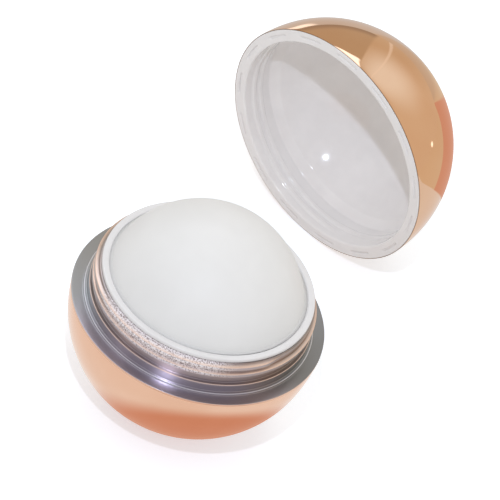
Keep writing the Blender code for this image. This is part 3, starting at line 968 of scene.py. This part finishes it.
class LIPBALM_OT_cap_liner(bpy.types.Operator):
    """Build the white liner of the cap with its slots and its inner thread"""

    bl_idname = "lipbalm.cap_liner"
    bl_label = "Cap Liner"

    def execute(self, context):
        scene = context.scene
        ball = scene.balm_ball
        liner = scene.balm_liner
        thread = scene.balm_thread
        matrix = cap_matrix(scene.balm_cap_place, ball)
        outer_first = math.asin(ball.rim_thickness / liner.outer_radius)
        inner_first = math.asin((liner.bore_depth + liner.shoulder) / liner.dome_radius)
        shoulder = ball_arc(liner.dome_radius, 0, inner_first, math.pi / 2, LINER_STEPS)
        edge = liner.rim_edge
        corners = [
            (liner.rim_radius, ball.rim_thickness),
            (liner.rim_radius, 0),
            (liner.mouth_radius, 0),
            (liner.mouth_radius, liner.bore_depth),
            shoulder[0],
            shoulder[JOIN],
        ]
        rim = soften(corners, [0, edge, 2 * edge, 3 * edge, 3 * edge, 0])
        mouth = 2 * (ARC_STEPS + 1)
        flat = spaced(rim[: mouth + 1], FINE_SPACING)
        bore = spaced(rim[mouth:], BORE_SPACING)
        outer = ball_arc(liner.outer_radius, 0, math.pi / 2, outer_first, LINER_BACK_STEPS)
        outline = joined(outer, flat[:-1], bore[:-1], shoulder[JOIN:])
        outline[(0, -1), 0] = 0
        points, turn = turned_points(outline)
        radius = outline[:, 0][:, None]
        height = outline[:, 1][:, None]
        in_bore = (np.abs(radius - liner.mouth_radius) < ON_WALL) & (height > edge)
        rise, _ = thread_rise(turn[None], height, thread.liner_start, thread.liner_angle, thread)
        rise = rise * in_bore * thread.liner_share
        points[:, :, :2] *= ((radius - rise) / np.maximum(radius, LEAST_RADIUS))[:, :, None]
        pitch = TAU / liner.slots
        beside = (turn - liner.slot_angle + pitch / 2) % pitch - pitch / 2
        along = np.abs(beside)[None] * liner.slot_ring
        across = np.abs(radius - liner.slot_ring)
        on_rim = (np.abs(height) < ON_WALL) & (radius > liner.mouth_radius)
        ends = smooth_step((liner.slot_length / 2 - along) / SLOT_END_SLOPE + 0.5)
        sides = smooth_step((liner.slot_width / 2 - across) / SLOT_SIDE_SLOPE + 0.5)
        points[:, :, 2] += liner.slot_depth * ends * sides * on_rim
        points = carried(points, matrix)
        tone = scene.balm_finishes.liner_white
        material = plastic_material("liner_plastic", tone, LINER_ROUGHNESS, matrix)
        make_piece("cap_liner_moulded", points, False, "cap", "cap_liner", material)
        return {"FINISHED"}


def light_box(paint, turn, rise, box):
    """The share of a light box: 1 between its sides, its foot, which may slope, and its top."""
    above = rise - box["slope"] * turn
    sides = paint.within((turn, *box["left"]), (turn, *box["right"]))
    return sides * paint.within((above, *box["foot"]), (rise, *box["top"]))


def dome_material(radius):
    """What the plating reflects: tan walls behind, a bright ceiling, soft boxes, a dim room in front.

    A direction is the turn from +Y towards +X, atan2(x, y), and the angle above the floor,
    asin(z / radius), both in degrees.
    """
    paint = Paint("studio_dome")
    across, away, up = paint.split(paint.place())
    turn = paint.maths("ARCTAN2", across, away) * math.degrees(1)
    rise = paint.maths("ARCSINE", up / radius) * math.degrees(1)
    glow_across = (turn - GLOW_PLACE[0]) / GLOW_STRETCH[0]
    glow_up = (rise - GLOW_PLACE[1]) / GLOW_STRETCH[1]
    glow = paint.within((spread(glow_across, glow_up), *GLOW_EDGE), (turn, *CORNER_TURN))
    from_seam = paint.maths("ABSOLUTE", turn - SEAM_SLOPE * rise - SEAM_TURN)
    from_spot = spread(turn - SPOT_PLACE[0], rise - SPOT_PLACE[1])
    tone = paint.layered(
        (0.40, 0.32, 0.25),
        (paint.between(rise, *WALL_FOOT), (0.56, 0.46, 0.34)),
        (paint.between(turn, *CORNER_TURN), (0.66, 0.54, 0.40)),
        (paint.between(turn, *RIGHT_TURN), (0.74, 0.62, 0.49)),
        (glow, (0.92, 0.93, 0.93)),
        (0.5 * paint.between(from_seam, *SEAM_EDGE), (1, 0.97, 0.95)),
        (paint.between(turn, *LEFT_TURN), (0.8, 0.8, 0.8)),
        (paint.between(paint.maths("ABSOLUTE", turn), *FRONT_TURN), (0.5, 0.5, 0.52)),
        (light_box(paint, turn, rise, SIDE_BOX), (1.15, 1.15, 1.15)),
        (light_box(paint, turn, rise, BACK_BOX), (1.8, 1.9, 2.1)),
        (paint.between(from_spot, *SPOT_EDGE), (1.8, 1.8, 1.8)),
    )
    return paint.finish(paint.node("ShaderNodeEmission", inputs={"Color": tone}))


def reflected_dome(radius):
    """A ball round the floor that only glossy rays see, so it shapes reflections and lights nothing."""
    outline = ball_arc(radius, 0, math.pi / 2, -math.pi / 2, STUDIO_STEPS)
    outline[(0, -1), 0] = 0
    mesh = grid_mesh("studio_dome", turned_points(outline, STUDIO_AROUND)[0], False)
    mesh.materials.append(dome_material(radius))
    dome = placed("studio_dome", mesh)
    for ray in ("camera", "diffuse", "shadow", "transmission", "volume_scatter"):
        setattr(dome, f"visible_{ray}", False)


def past_line(across, away, line):
    """How far a place lies right of a line, which is a point and its heading from +Y towards +X."""
    (start_across, start_away), heading = line
    return (across - start_across) * math.cos(heading) - (away - start_away) * math.sin(heading)


def painted_floor(paint, across, away):
    """The floor that the plating sees, all painted reflection: white round the object, a painted
    copper shadow where the base shades the floor and throws its colour, tan beyond a straight
    edge behind the cap, a copper wedge that runs away from the cap, and a painted bright streak.
    """
    from_left = past_line(across, away, WEDGE_LEFT)
    from_right = past_line(across, away, WEDGE_RIGHT)
    behind = paint.within((away, *BEHIND_AWAY), (across, *BEHIND_ACROSS))
    wedge = behind * paint.within((from_left, *WEDGE_LEFT_EDGE), (from_right, *WEDGE_RIGHT_EDGE))
    far = paint.within((away, *FAR_AWAY), (from_left, *FAR_LEFT))
    streak = paint.within(
        (away, *STREAK_START),
        (away, *STREAK_END),
        (across + STREAK_LEFT_SLOPE * away, *STREAK_LEFT),
        (across + STREAK_RIGHT_SLOPE * away, *STREAK_RIGHT),
    )
    from_shade = spread(across - SHADE_PLACE[0], away - SHADE_PLACE[1])
    tan = paint.blend(far, (0.74, 0.62, 0.48), (0.645, 0.555, 0.46))
    return paint.layered(
        (0.96, 0.95, 0.94),
        (paint.between(away, *TABLE_AWAY), (0.82, 0.79, 0.78)),
        (paint.between(away, *TABLE_END), (0.66, 0.63, 0.61)),
        (streak, (1.4, 1.4, 1.4)),
        (paint.between(away, *HORIZON_AWAY), (0.45, 0.42, 0.37)),
        (behind, tan),
        (wedge, (0.72, 0.42, 0.33)),
        (paint.between(from_shade, *SHADE_EDGE), (0.74, 0.42, 0.31)),
    )


def floor_material():
    """A pale floor that is white to the camera where nothing shades it, and keeps a faint shadow; glossy
    rays see the painted floor, with its painted shadow.
    """
    paint = Paint("studio_floor")
    where = paint.place()
    across, away, _ = paint.split(where)
    pale = paint.blend(paint.noise(where, 40, 3), (0.80, 0.80, 0.80), (0.82, 0.82, 0.82))
    lit = paint.node("ShaderNodeBsdfDiffuse", inputs={"Color": pale})
    camera = paint.node("ShaderNodeLightPath", output="Is Camera Ray")
    glossy = paint.node("ShaderNodeLightPath", output="Is Glossy Ray")
    # Glossy rays see the painted floor: painted reflections, with a painted copper-tinted shadow round the
    # base.
    painted = paint.node("ShaderNodeEmission", inputs={"Color": painted_floor(paint, across, away)})
    strength = camera * FLOOR_GLOW_SHARE
    seen = paint.node("ShaderNodeEmission", inputs={"Color": FLOOR_GLOW, "Strength": strength})
    plain = paint.node("ShaderNodeAddShader", inputs={0: lit, 1: seen})
    return paint.finish(paint.node("ShaderNodeMixShader", inputs={0: glossy, 1: plain, 2: painted}))


def studio_floor(half):
    """A level square just under the foot: its corners lie half its width from the axes."""
    mesh = bpy.data.meshes.new("studio_floor")
    corners = [(x * half, y * half, -FLOOR_DROP) for x, y in ((-1, -1), (1, -1), (1, 1), (-1, 1))]
    mesh.from_pydata(corners, [], [(0, 1, 2, 3)])
    mesh.materials.append(floor_material())
    placed("studio_floor", mesh)


def studio_world():
    """A world that is white to the camera and lights the object evenly."""
    paint = Paint("studio_world", bpy.data.worlds)
    camera = paint.node("ShaderNodeLightPath", output="Is Camera Ray")
    lit = paint.node("ShaderNodeBackground", inputs={"Color": WORLD_TONE, "Strength": WORLD_STRENGTH})
    seen = paint.node("ShaderNodeBackground", inputs={"Color": (1, 1, 1, 1), "Strength": 1})
    mixed = paint.node("ShaderNodeMixShader", inputs={0: camera, 1: lit, 2: seen})
    bpy.context.scene.world = paint.finish(mixed, "ShaderNodeOutputWorld")


def soft_lamp(name, place, aim, size, power, tone=(1, 1, 1), reflected=True):
    """A square area lamp that faces a point."""
    lamp = bpy.data.lights.new(name, "AREA")
    lamp.shape = "SQUARE"
    lamp.size = size
    lamp.energy = power
    lamp.color = tone
    item = placed(name, lamp)
    item.location = place
    item.rotation_euler = (Vector(aim) - Vector(place)).to_track_quat("-Z", "Y").to_euler()
    item.visible_glossy = reflected


def camera_matrix(studio):
    """The camera's frame: it looks down, rolls about its view, and leans up to the elevation."""
    place = (studio.camera_right, -studio.camera_near, studio.camera_height)
    lean = Matrix.Rotation(math.pi / 2 - studio.elevation, 4, "X")
    return Matrix.Translation(place) @ lean @ Matrix.Rotation(studio.roll, 4, "Z")


class LIPBALM_OT_studio(bpy.types.Operator):
    """Build the floor, the reflected dome, the lamps and the camera"""

    bl_idname = "lipbalm.studio"
    bl_label = "Studio"

    def execute(self, context):
        scene = context.scene
        studio = scene.balm_studio
        studio_floor(studio.floor_half)
        reflected_dome(studio.dome_radius)
        for name, lamp in LAMPS.items():
            soft_lamp(name, **lamp)
        studio_world()
        camera = bpy.data.cameras.new("photo_camera")
        camera.lens = CAMERA_LENS
        camera.sensor_width = CAMERA_SENSOR
        camera.clip_start, camera.clip_end = CAMERA_REACH
        scene.camera = placed("photo_camera", camera)
        scene.camera.matrix_world = camera_matrix(studio)
        scene.view_settings.view_transform = "Standard"
        return {"FINISHED"}


class LIPBALM_PT_panel(bpy.types.Panel):
    """Lists the steps that build the lip balm ball"""

    bl_idname = "LIPBALM_PT_panel"
    bl_label = "Lip Balm Ball"
    bl_space_type = "VIEW_3D"
    bl_region_type = "UI"
    bl_category = "Lip Balm"

    def draw(self, context):
        for operator in OPERATORS:
            self.layout.operator(operator.bl_idname)
        for key, group in GROUPS.items():
            box = self.layout.box()
            for name in group.__annotations__:
                box.prop(getattr(context.scene, key), name)


OPERATORS = (
    LIPBALM_OT_base_shell,
    LIPBALM_OT_collar,
    LIPBALM_OT_cup,
    LIPBALM_OT_disc,
    LIPBALM_OT_balm,
    LIPBALM_OT_cap_shell,
    LIPBALM_OT_cap_liner,
    LIPBALM_OT_studio,
)


def register():
    for key, group in GROUPS.items():
        bpy.utils.register_class(group)
        setattr(bpy.types.Scene, key, bpy.props.PointerProperty(type=group))
    for item in (*OPERATORS, LIPBALM_PT_panel):
        bpy.utils.register_class(item)


def unregister():
    for item in (LIPBALM_PT_panel, *reversed(OPERATORS)):
        bpy.utils.unregister_class(item)
    for key, group in reversed(GROUPS.items()):
        delattr(bpy.types.Scene, key)
        bpy.utils.unregister_class(group)


def main():
    register()
    bpy.ops.lipbalm.base_shell()
    bpy.ops.lipbalm.collar()
    bpy.ops.lipbalm.cup()
    bpy.ops.lipbalm.disc()
    bpy.ops.lipbalm.balm()
    bpy.ops.lipbalm.cap_shell()
    bpy.ops.lipbalm.cap_liner()
    bpy.ops.lipbalm.studio()


if __name__ == "__main__":
    main()
